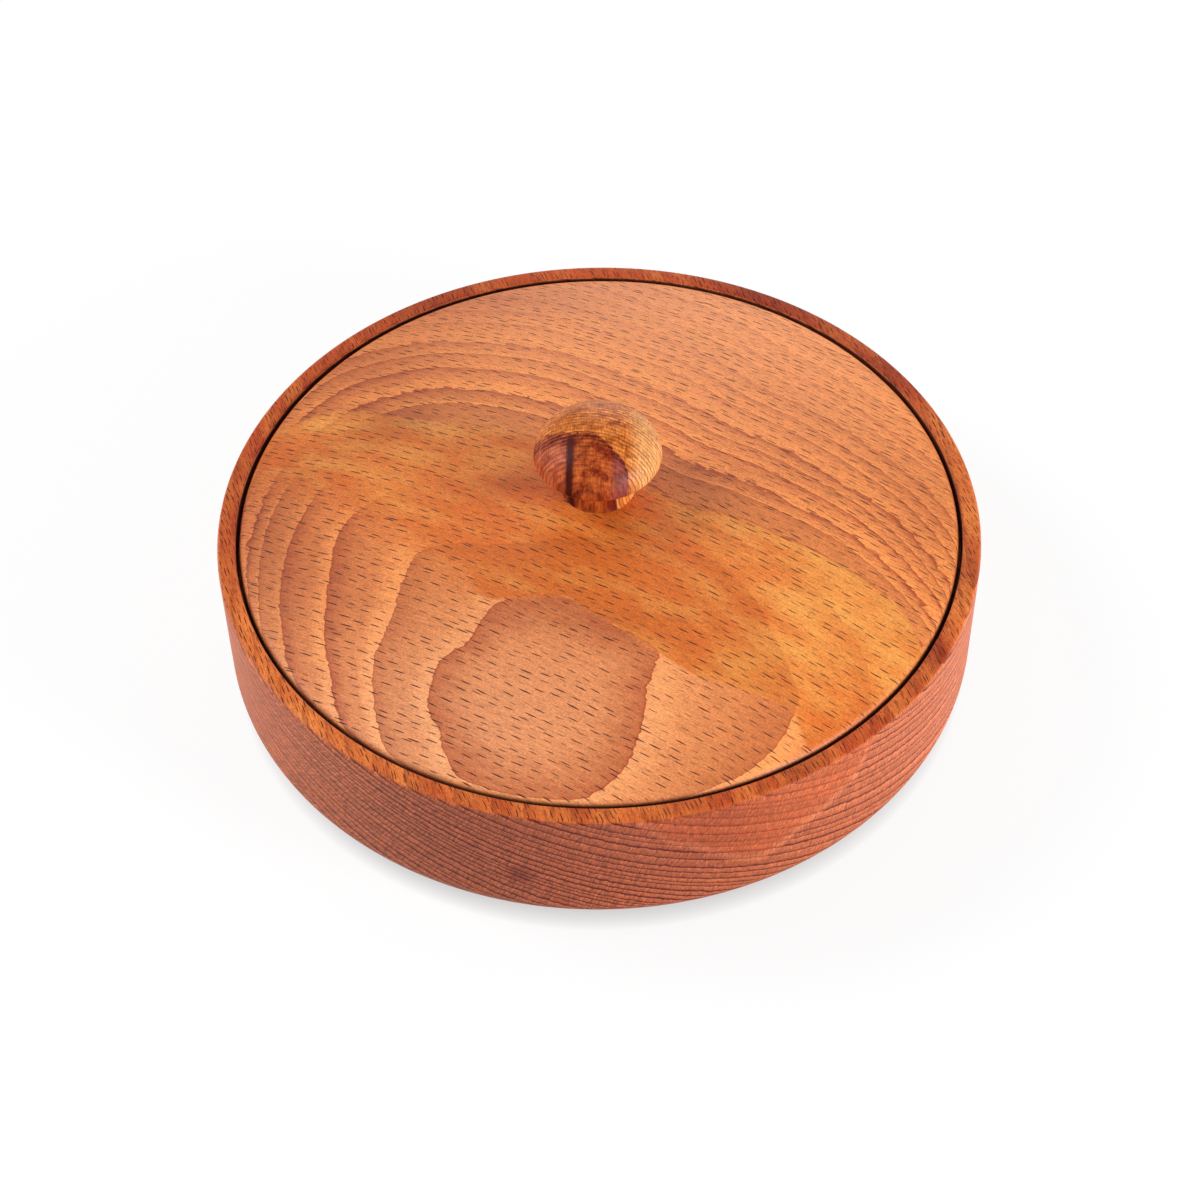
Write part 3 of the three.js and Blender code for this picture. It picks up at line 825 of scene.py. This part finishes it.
# %% The knob's finish
KNOB_NOISES = {  # millimetres along, across and through the grain, then detail and roughness
    "wander": ((30.0, 1.6, 2.4), 4.0, 0.7),
    "blotch": ((25.0, 2.0, 3.0), 4.0, 0.65),
    "rays": ((9.0, 2.5, 0.4), 3.0, 0.75),
    "grains": ((6.0, 0.35, 2.0), 3.0, 0.75),
}
KNOB_COLOURS = {
    "tan": "#e6883e", "deep_tan": "#aa521c", "pale_side_and_highlight": "#f4b878", "ring": "#742a0a", "spot": "#7a2c10",
    "heart": "#c05c26", "deep_heart": "#7c1e08", "purple": "#8a4440", "patch": "#74180a",
    "salmon": "#d46a3c", "deep_salmon": "#a6401e", "heart_ring": "#481408", "streak": "#460c06",
    "band": "#561208",
}
UPRIGHT_GRAIN = (0, -90, 0)
KNOB_GRAIN_DEPTH = 0.1


def knob_finish(name):
    """Oiled beech with a dark heart. Outside the heart the wood is tan with fine rings and red-brown spots,
    and paler at the right, partly paler wood and partly a painted highlight. The heart's edge is a dark
    band, broken up by blotches and by the rings, and inside it the colour goes from salmon at the left, past
    a black-brown streak, to brown with darker patches and to purple. Rings and rays cross as on a woven
    cloth."""
    material, tree = new_material(name)
    place = grain_place(tree, UPRIGHT_GRAIN)
    tone = {part: linear(colour) for part, colour in KNOB_COLOURS.items()}
    heart, side, streak, age, spot, patch = (
        add(tree, "Attribute", out="Fac", attribute_name=kept)
        for kept in ("heart", "side", "streak", "age", "spot", "patch")
    )
    noise = {
        look: add(
            tree, "TexNoise",
            {"Scale": 1.0, "Vector": stretched(tree, place, *size), "Detail": detail, "Roughness": rough}
        )
        for look, (size, detail, rough) in KNOB_NOISES.items()
    }
    shift = add(tree, "MapRange", {0: noise["wander"], 3: -2.2, 4: 2.2}, clamp=False)
    heart = add(tree, "Math", {0: heart, 1: shift}, operation="ADD")
    years = add(tree, "Math", {0: shift, 1: 0.25, 2: age}, operation="MULTIPLY_ADD")
    share = add(tree, "Math", {0: years}, operation="FRACT")
    rings = add(tree, "MapRange", {0: share, 1: 0.5, 2: 0.95}, interpolation_type="SMOOTHSTEP")
    whole = add(tree, "Math", {0: years}, operation="FLOOR")
    luck = add(tree, "TexWhiteNoise", {"W": whole}, noise_dimensions="1D")
    luck = add(tree, "MapRange", {0: luck, 3: 0.4, 4: 1.0})
    rings = add(tree, "Math", {0: rings, 1: luck}, operation="MULTIPLY")
    patchy = add(tree, "MapRange", {0: noise["blotch"], 1: 0.4, 2: 0.65})

    # Paler at the right: partly paler wood, partly a painted highlight.
    pale = add(tree, "MapRange", {0: side, 1: 7.5, 2: 11.0, 4: 0.55})
    spot = add(tree, "Math", {0: patchy, 1: 0.7, 2: spot}, operation="MULTIPLY_ADD")
    spot = add(tree, "MapRange", {0: spot, 1: 0.75, 2: 1.3, 4: 0.8})
    outer = add(tree, "Mix", {0: patchy, MIX_A: tone["tan"], MIX_B: tone["deep_tan"]}, **COLOUR_MIX)
    for amount, colour in ((pale, "pale_side_and_highlight"), (rings, "ring"), (spot, "spot")):
        outer = add(tree, "Mix", {0: amount, MIX_A: outer, MIX_B: tone[colour]}, **COLOUR_MIX)

    left = add(tree, "MapRange", {0: side, 1: -7.0, 2: -7.6})
    right = add(tree, "MapRange", {0: side, 1: 2.5, 2: 5.0, 4: 0.8})
    patch = add(tree, "Math", {0: patchy, 1: 0.5, 2: patch}, operation="MULTIPLY_ADD")
    patch = add(tree, "MapRange", {0: patch, 1: 0.6, 2: 1.1, 4: 0.85})
    inner_rings = add(tree, "MapRange", {0: side, 1: -8.0, 2: 0.0, 3: 0.75, 4: 0.5})
    inner_rings = add(tree, "Math", {0: rings, 1: inner_rings}, operation="MULTIPLY")
    salmon = add(tree, "Mix", {0: patchy, MIX_A: tone["salmon"], MIX_B: tone["deep_salmon"]}, **COLOUR_MIX)
    inner = add(tree, "Mix", {0: patchy, MIX_A: tone["heart"], MIX_B: tone["deep_heart"]}, **COLOUR_MIX)
    layers = [
        (right, tone["purple"]), (patch, tone["patch"]), (left, salmon),
        (inner_rings, tone["heart_ring"]), (streak, tone["streak"]),
    ]
    for amount, colour in layers:
        inner = add(tree, "Mix", {0: amount, MIX_A: inner, MIX_B: colour}, **COLOUR_MIX)

    in_heart = add(tree, "MapRange", {0: heart, 1: -0.2, 2: 0.5})
    wood = add(tree, "Mix", {0: in_heart, MIX_A: outer, MIX_B: inner}, **COLOUR_MIX)
    thick = add(tree, "MapRange", {0: side, 1: -8.0, 2: -2.0, 3: 4.6, 4: 2.2})
    depth = add(tree, "Math", {0: heart, 1: thick}, operation="DIVIDE")
    far_edge = add(tree, "MapRange", {0: depth, 1: 0.6, 2: 1.2, 3: 1.0, 4: 0.0})
    broken = add(tree, "MapRange", {0: noise["blotch"], 1: 0.4, 2: 0.55, 3: 0.55, 4: 1.0})
    arcs = add(
        tree, "MapRange", {0: share, 1: 0.2, 2: 0.7, 3: 0.45, 4: 1.0}, interpolation_type="SMOOTHSTEP"
    )
    band = in_heart
    for part in (far_edge, broken, arcs):
        band = add(tree, "Math", {0: band, 1: part}, operation="MULTIPLY")
    wood = add(tree, "Mix", {0: band, MIX_A: wood, MIX_B: tone["band"]}, **COLOUR_MIX)

    ray_light = add(
        tree, "MapRange", {0: noise["rays"], 1: 0.3, 2: 0.7, 3: 0.55, 4: 1.35}, clamp=False
    )
    grain_light = add(
        tree, "MapRange", {0: noise["grains"], 1: 0.3, 2: 0.7, 3: 0.7, 4: 1.3}, clamp=False
    )
    light = add(tree, "Math", {0: ray_light, 1: grain_light}, operation="MULTIPLY")
    wood = add(tree, "VectorMath", {0: wood, "Scale": light}, operation="SCALE")
    bump = add(tree, "Bump", {"Height": light, "Strength": 0.2, "Distance": KNOB_GRAIN_DEPTH * MM})
    shader = add(
        tree, "BsdfPrincipled", {
            "Base Color": wood, "Roughness": 0.4, "IOR": BEECH_IOR, "Specular IOR Level": 0.14,
            "Normal": bump,
        }
    )
    add(tree, "OutputMaterial", {"Surface": shader})
    return material


finished(knob_mesh, knob_finish("oiled_beech_knob"), "lid", "knob")

# %% [markdown]
# ## The screw
#
# A 3 mm countersunk wood screw, zinc plated, comes up through the lid into the knob. Only its head shows,
# in the hollow. It is one grid of turn and run: the run goes down the middle of the cross recess, over the
# head, along the shank and the thread, to the tip. The thread is a sharp wave of the run less the turn.

# %% The screw's shape
HEAD_RIM_STEP, RECESS_LENGTH, RECESS_WIDTH, RECESS_DEPTH = 0.1, 3.4, 0.8, 1.2
THREAD_PITCH, CORE_RADIUS, TIP_LENGTH, SHANK_SHARE = 1.35, 1.1, 2.5, 0.42
FACE_POINTS, THREAD_POINTS, SCREW_SEGMENTS = 34, 190, 96
SHANK_STEP, TIP_STEP, THREAD_FADE = 0.4, 0.05, 1.0
RECESS_SLOPE_SHARE = 0.45


def screw_mesh(name):
    """The screw as a surface of revolution whose head dips inside the cross and whose radius swells along
    the thread: core plus height times one less twice the distance from the middle of the pitch."""
    base = screw_low[2]
    face_radius = np.linspace(0, screw_head_radius - HEAD_RIM_STEP, FACE_POINTS)
    face = np.column_stack([face_radius, np.full(FACE_POINTS, base)])
    neck = screw_head_radius - SCREW_SHANK_RADIUS
    shank_end = SCREW_LENGTH * SHANK_SHARE
    run = np.linspace(shank_end, SCREW_LENGTH - TIP_STEP, THREAD_POINTS)
    swell = np.clip((SCREW_LENGTH - run) / TIP_LENGTH, 0, 1)
    profile = np.vstack([
        face,
        [(screw_head_radius, base + HEAD_RIM_STEP), (screw_head_radius, base + HEAD_RIM)],
        [(SCREW_SHANK_RADIUS, base + HEAD_RIM + neck), (SCREW_SHANK_RADIUS, base + shank_end - SHANK_STEP)],
        np.column_stack([CORE_RADIUS * swell, base + run]),
        [(0, base + SCREW_LENGTH)],
    ])
    mesh = turned(name, profile, SCREW_SEGMENTS)
    x, y, z = points_of(mesh)
    radius, turn = np.hypot(x, y), np.arctan2(y, x)
    on_face = z < base + HEAD_RIM_STEP / 2
    half = RECESS_WIDTH / 2
    in_arm = np.minimum(
        np.maximum(np.abs(x) - RECESS_LENGTH / 2, np.abs(y) - half),
        np.maximum(np.abs(y) - RECESS_LENGTH / 2, np.abs(x) - half),
    )
    dip = RECESS_DEPTH * smooth_step(-in_arm, -0.05, 0.12)
    dip = dip * (1 - RECESS_SLOPE_SHARE * radius / (RECESS_LENGTH / 2))
    z = np.where(on_face, z + np.maximum(dip, 0), z)
    height = z - base
    phase = (height / THREAD_PITCH - turn / (2 * math.pi)) % 1
    ridge = np.clip(1 - np.abs(phase - 0.5) * 4, 0, 1)
    threaded = smooth_step(height, shank_end, shank_end + THREAD_FADE)
    threaded = threaded * smooth_step(SCREW_LENGTH - height, 0.2, TIP_LENGTH)
    grown = radius + (SCREW_SHANK_RADIUS - CORE_RADIUS) * ridge * threaded
    grow = np.where(radius > SAME_POINT, grown / np.maximum(radius, SAME_POINT), 1)
    moved = np.column_stack([x * grow, y * grow, z]) * MM
    mesh.vertices.foreach_set("co", moved.ravel())
    mesh.update()
    return mesh


# %% The screw's finish
def zinc_finish(name):
    """Bright zinc plating on steel: a pale grey metal, slightly uneven and softly polished."""
    material, tree = new_material(name)
    here = add(tree, "TexCoord", out="Object")
    mottle = add(tree, "TexNoise", {"Vector": here, "Scale": 1 / (0.8 * MM), "Detail": 3.0})
    tone = add(tree, "Mix", {0: mottle, MIX_A: linear("#a8a69c"), MIX_B: linear("#cfcdc2")}, **COLOUR_MIX)
    rough = add(tree, "MapRange", {0: mottle, 3: 0.28, 4: 0.42})
    shader = add(tree, "BsdfPrincipled", {"Base Color": tone, "Metallic": 1.0, "Roughness": rough})
    add(tree, "OutputMaterial", {"Surface": shader})
    return material


finished(screw_mesh("screw"), zinc_finish("zinc_plated_steel"), "lid", "knob_screw")

# %% [markdown]
# ## Floor, light and camera
#
# The box stands on a white sheet in soft light. The camera stands 0.78 m away and looks down at about 48
# degrees, which was found by matching the rim, the foot and the knob in the photograph.

# %% The floor
SHADE_REACH = 6.0  # millimetres
NEAR, FAR, PLAIN_SHARE = 0.15, 0.5, 0.87  # metres from the middle, and the share of plain white within NEAR


def white_finish(name):
    """A matt white sheet. Near the box the camera sees mostly plain white with a little of the lit sheet,
    and far from it plain white alone. The plain white is greyed where the box stands close over it, so the
    sheet shows white with a short, soft shadow."""
    material, tree = new_material(name)
    path = tree.nodes.new("ShaderNodeLightPath")
    sheet = add(tree, "BsdfDiffuse", {"Color": linear("#fafafa")})
    close = add(tree, "AmbientOcclusion", {"Distance": SHADE_REACH * MM}, samples=16)
    close = add(tree, "Mix", {0: 0.5, MIX_A: (1, 1, 1, 1), MIX_B: close}, **COLOUR_MIX)
    plain = add(tree, "Emission", {"Color": close, "Strength": 1.0})
    here = add(tree, "TexCoord", out="Object")
    away = add(tree, "VectorMath", {0: here}, out="Value", operation="LENGTH")
    share = add(tree, "MapRange", {0: away, 1: NEAR, 2: FAR, 3: PLAIN_SHARE, 4: 1.0})
    share = add(tree, "Math", {0: path.outputs["Is Camera Ray"], 1: share}, operation="MULTIPLY")
    shader = add(tree, "MixShader", {0: share, 1: sheet, 2: plain})
    add(tree, "OutputMaterial", {"Surface": shader})
    return material


FLOOR_HALF = 6.0  # metres
floor_mesh = bpy.data.meshes.new("floor")
corners = np.array([(-1, -1), (1, -1), (1, 1), (-1, 1)]) * FLOOR_HALF
floor_mesh.from_pydata(np.column_stack([corners, np.zeros(4)]), [], [(0, 1, 2, 3)])
floor_mesh.materials.append(white_finish("white_sheet"))
floor = bpy.data.objects.new("floor", floor_mesh)
bpy.context.scene.collection.objects.link(floor)
print("floor", 2 * FLOOR_HALF, "m across")

# %% The lights
AIM = Vector((0, 0, 0.04))  # metres


def soft_light(name, place, size, watts):
    """A square lamp that faces the middle of the box. Its place and its width are in metres."""
    lamp = bpy.data.lights.new(name, "AREA")
    lamp.size = size
    lamp.energy = watts
    holder = bpy.data.objects.new(name, lamp)
    holder.location = place
    holder.rotation_mode = "QUATERNION"
    holder.rotation_quaternion = (AIM - Vector(place)).to_track_quat("-Z", "Y")
    bpy.context.scene.collection.objects.link(holder)
    print(name, watts, "W,", size, "m wide, at", place)


soft_light("left_softbox", (-1.1, 0.25, 1.1), 0.6, 12)
soft_light("right_softbox", (1.2, -0.75, 0.45), 0.5, 22)
soft_light("low_left_softbox", (-1.4, 0.1, 0.45), 0.6, 4)
soft_light("back_softbox", (0.2, 1.35, 0.5), 0.8, 5)

world = bpy.data.worlds.new("studio")
bpy.context.scene.world = world
world.use_nodes = True
sky = world.node_tree
sky.nodes.clear()
path = sky.nodes.new("ShaderNodeLightPath")
strength = add(sky, "MapRange", {0: path.outputs["Is Camera Ray"], 3: 0.4, 4: 1.0})
glow = add(sky, "Background", {"Color": (1, 1, 1, 1), "Strength": strength})
add(sky, "OutputWorld", {"Surface": glow})

# %% The camera
CAMERA_DISTANCE, CAMERA_ELEVATION, AIM_DOWN, ROLL = 783.5, 46.55, 1.52, -0.85
FOCAL_PIXELS, PHOTO_PIXELS, SENSOR_WIDTH = 2985.4, 1200, 36
camera_data = bpy.data.cameras.new("camera")
camera_data.sensor_width = SENSOR_WIDTH
camera_data.lens = FOCAL_PIXELS / PHOTO_PIXELS * SENSOR_WIDTH
camera = bpy.data.objects.new("camera", camera_data)
bpy.context.scene.collection.objects.link(camera)
raised = math.radians(CAMERA_ELEVATION)
back, up = CAMERA_DISTANCE * math.cos(raised), CAMERA_DISTANCE * math.sin(raised)
camera.location = Vector((0, -back, bowl_height + up)) * MM
tilt = Euler((math.radians(90 - CAMERA_ELEVATION - AIM_DOWN), 0, 0)).to_matrix()
roll = Euler((0, 0, math.radians(ROLL))).to_matrix()
camera.rotation_euler = (tilt @ roll).to_euler()
bpy.context.scene.camera = camera
bpy.context.scene.view_settings.view_transform = "Standard"
stand = [round(part, 3) for part in camera.location]
print("camera at", stand, "with a", round(camera_data.lens, 1), "mm lens")
